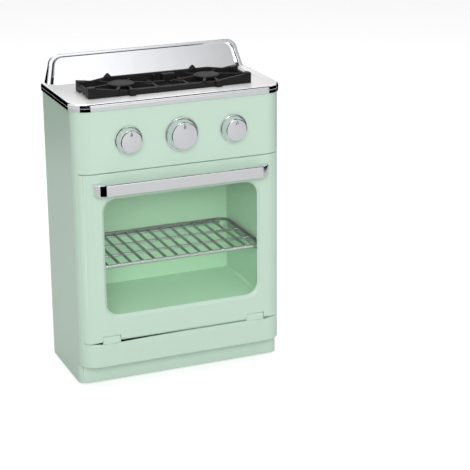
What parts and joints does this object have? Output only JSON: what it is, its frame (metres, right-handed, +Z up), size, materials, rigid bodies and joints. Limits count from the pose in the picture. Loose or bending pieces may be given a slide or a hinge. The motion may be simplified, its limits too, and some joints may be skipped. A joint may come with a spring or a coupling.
{
  "type": "toy oven",
  "caption": "Doll-scale play oven with a drop-down windowed door, turning knobs, a chrome-plated cooktop with burners and a low backsplash, and a wire shelf.",
  "frame": {"origin": "middle of the footprint, on the ground", "axes": "+Z up; -Y towards the door and the knobs; +X to the right of someone who faces the door"},
  "size_m": [0.203, 0.1084, 0.296],
  "materials": {
    "mint_plastic": "smooth gloss",
    "liner_plastic": "smooth gloss",
    "chrome_plating": "vacuum-plated plastic",
    "black_plastic": "satin",
    "clear_pane": "clear moulded plastic",
    "rack_wire": "silver paint",
    "white_nylon": "plain",
    "screw_steel": "zinc plated",
    "foot_rubber": "plain"
  },
  "bodies": {
    "cabinet": {"cabinet_shell": "mint_plastic", "base_plate": "mint_plastic", "foot_pads": "foot_rubber", "base_screws": "screw_steel", "back_cover": "mint_plastic", "back_cover_screws": "screw_steel", "oven_liner": "liner_plastic", "liner_screws": "screw_steel", "door_catch": "white_nylon", "cooktop": "chrome_plating", "cooktop_screws": "screw_steel", "burner_grate": "black_plastic", "grate_screws": "screw_steel", "click_springs": "screw_steel", "spring_screws": "screw_steel"},
    "door": {"door_front": "mint_plastic", "door_inner": "liner_plastic", "window_pane": "clear_pane", "door_handle": "chrome_plating", "handle_screws": "screw_steel", "door_screws": "screw_steel", "hinge_pins": "screw_steel"},
    "left_knob": {"knob_left": "chrome_plating", "shaft_left": "white_nylon", "click_wheel_left": "white_nylon", "shaft_screw_left": "screw_steel"},
    "centre_knob": {"knob_centre": "chrome_plating", "shaft_centre": "white_nylon", "click_wheel_centre": "white_nylon", "shaft_screw_centre": "screw_steel"},
    "right_knob": {"knob_right": "chrome_plating", "shaft_right": "white_nylon", "click_wheel_right": "white_nylon", "shaft_screw_right": "screw_steel"},
    "shelf": {"rack": "rack_wire"}
  },
  "joints": [
    {"name": "door_hinge", "type": "hinge", "parent": "cabinet", "child": "door", "pos_m": [0, -0.0405, 0.04635], "axis": [1, 0, 0], "range_deg": [0, 90]},
    {"name": "left_knob_turn", "type": "hinge", "parent": "cabinet", "child": "left_knob", "pos_m": [-0.0506, -0.04375, 0.2345], "axis": [0, 1, 0], "continuous": true},
    {"name": "centre_knob_turn", "type": "hinge", "parent": "cabinet", "child": "centre_knob", "pos_m": [0, -0.04375, 0.2345], "axis": [0, 1, 0], "continuous": true},
    {"name": "right_knob_turn", "type": "hinge", "parent": "cabinet", "child": "right_knob", "pos_m": [0.0506, -0.04375, 0.2345], "axis": [0, 1, 0], "continuous": true},
    {"name": "shelf_slide", "type": "slide", "parent": "cabinet", "child": "shelf", "axis": [0, 1, 0], "range_m": [-0.0003, 0.0013]}
  ]
}
